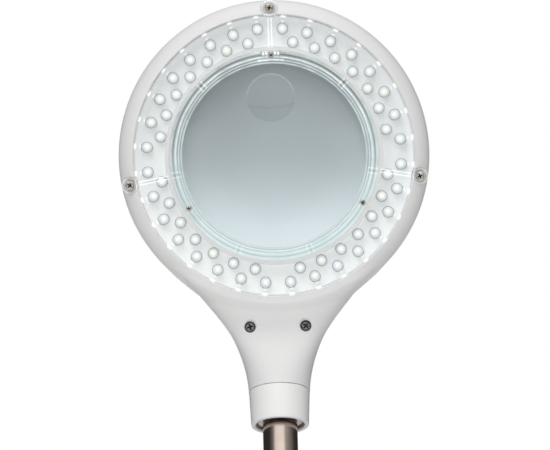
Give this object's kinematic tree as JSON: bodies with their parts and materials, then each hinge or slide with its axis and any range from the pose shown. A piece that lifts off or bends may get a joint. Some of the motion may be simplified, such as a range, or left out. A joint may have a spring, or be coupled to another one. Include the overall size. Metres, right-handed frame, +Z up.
{
  "type": "magnifying lamp",
  "caption": "Table magnifying lamp: round lens head with a lit ring under a clear cover, lens lid, tapered neck, metal gooseneck and weighted round base.",
  "frame": {"origin": "centre of the flat underside of the base, on the surface the lamp stands on", "axes": "+Z up; the face of the head looks along -Y; +X to the right of someone who faces the lens"},
  "size_m": [0.19, 0.1919, 0.5796],
  "materials": {
    "white_plastic": "satin white ABS",
    "clear_plastic": "clear acrylic",
    "lens_glass": "polished optical glass",
    "led_board": "white solder mask with clear LEDs",
    "circuit_board": "green circuit board",
    "lead_sheath": "black PVC sheath",
    "nickel": "polished nickel plate on steel",
    "steel": "zinc-plated steel",
    "cast_iron": "painted cast iron",
    "brass": "turned brass",
    "nylon": "natural nylon",
    "black_plastic": "black plastic",
    "rubber": "black rubber"
  },
  "bodies": {
    "base": {"foot_pad": "rubber", "base_weight": "cast_iron", "base_cover": "white_plastic", "base_screw_1": "steel", "base_screw_2": "steel", "base_screw_3": "steel", "base_screw_4": "steel", "power_inlet": "black_plastic", "lower_ferrule": "nickel", "ferrule_nut": "brass", "ferrule_washer": "steel"},
    "link_1": {"gooseneck_link_1": "nickel"},
    "link_2": {"gooseneck_link_2": "nickel"},
    "link_3": {"gooseneck_link_3": "nickel"},
    "link_4": {"gooseneck_link_4": "nickel"},
    "link_5": {"gooseneck_link_5": "nickel"},
    "link_6": {"gooseneck_link_6": "nickel"},
    "link_7": {"gooseneck_link_7": "nickel"},
    "collar": {"neck_collar": "white_plastic", "socket_cup": "nickel", "set_screw": "steel", "upper_ferrule": "nickel", "swivel_washer": "steel", "retaining_nut": "brass"},
    "head": {"front_housing": "white_plastic", "rear_housing": "white_plastic", "led_cover": "clear_plastic", "led_board": "led_board", "lens": "lens_glass", "lens_retainer": "clear_plastic", "cover_screw_1": "steel", "cover_screw_2": "steel", "cover_screw_3": "steel", "retainer_screw_1": "steel", "retainer_screw_2": "steel", "retainer_screw_3": "steel", "neck_screw_1": "steel", "neck_screw_2": "steel", "driver_board": "circuit_board", "led_lead": "lead_sheath", "switch_body": "black_plastic", "swivel_bush": "nylon", "hinge_pin": "steel"},
    "lid": {"lens_lid": "white_plastic"},
    "button": {"switch_button": "black_plastic"}
  },
  "joints": [
    {"name": "gooseneck_nod_1", "type": "hinge", "parent": "base", "child": "link_1", "pos_m": [0, 0, 0.072], "axis": [1, 0, 0], "range_deg": [-20, 25]},
    {"name": "gooseneck_side_1", "type": "hinge", "parent": "link_1", "child": "link_2", "pos_m": [0, 0.00165, 0.10796], "axis": [0, 0.9976, -0.0687], "range_deg": [-22, 22]},
    {"name": "gooseneck_nod_2", "type": "hinge", "parent": "link_2", "child": "link_3", "pos_m": [0, 0.00494, 0.14381], "axis": [1, 0, 0], "range_deg": [-20, 25]},
    {"name": "gooseneck_side_2", "type": "hinge", "parent": "link_3", "child": "link_4", "pos_m": [0, 0.00988, 0.17947], "axis": [0, 0.9872, -0.1597], "range_deg": [-22, 22]},
    {"name": "gooseneck_nod_3", "type": "hinge", "parent": "link_4", "child": "link_5", "pos_m": [0, 0.01644, 0.21487], "axis": [1, 0, 0], "range_deg": [-20, 25]},
    {"name": "gooseneck_side_3", "type": "hinge", "parent": "link_5", "child": "link_6", "pos_m": [0, 0.02461, 0.24993], "axis": [0, 0.9684, -0.2493], "range_deg": [-22, 22]},
    {"name": "gooseneck_nod_4", "type": "hinge", "parent": "link_6", "child": "link_7", "pos_m": [0, 0.03438, 0.28458], "axis": [1, 0, 0], "range_deg": [-20, 25]},
    {"name": "gooseneck_side_4", "type": "hinge", "parent": "link_7", "child": "collar", "pos_m": [0, 0.04573, 0.31874], "axis": [0, 0.9415, -0.3369], "range_deg": [-22, 22]},
    {"name": "head_swivel", "type": "hinge", "parent": "collar", "child": "head", "pos_m": [-0.00131, 0.06795, 0.37661], "axis": [-0.0212, 0.3584, 0.9333], "range_deg": [-60, 60]},
    {"name": "lid_hinge", "type": "hinge", "parent": "head", "child": "lid", "pos_m": [-0.00564, 0.09368, 0.56706], "axis": [0.9997, 0, 0.0227], "range_deg": [0, 115]},
    {"name": "switch_press", "type": "slide", "parent": "head", "child": "button", "axis": [0, -1, 0], "range_m": [0, 0.0012], "stiffness_N_per_m": 900, "springref_m": -0.0012}
  ]
}
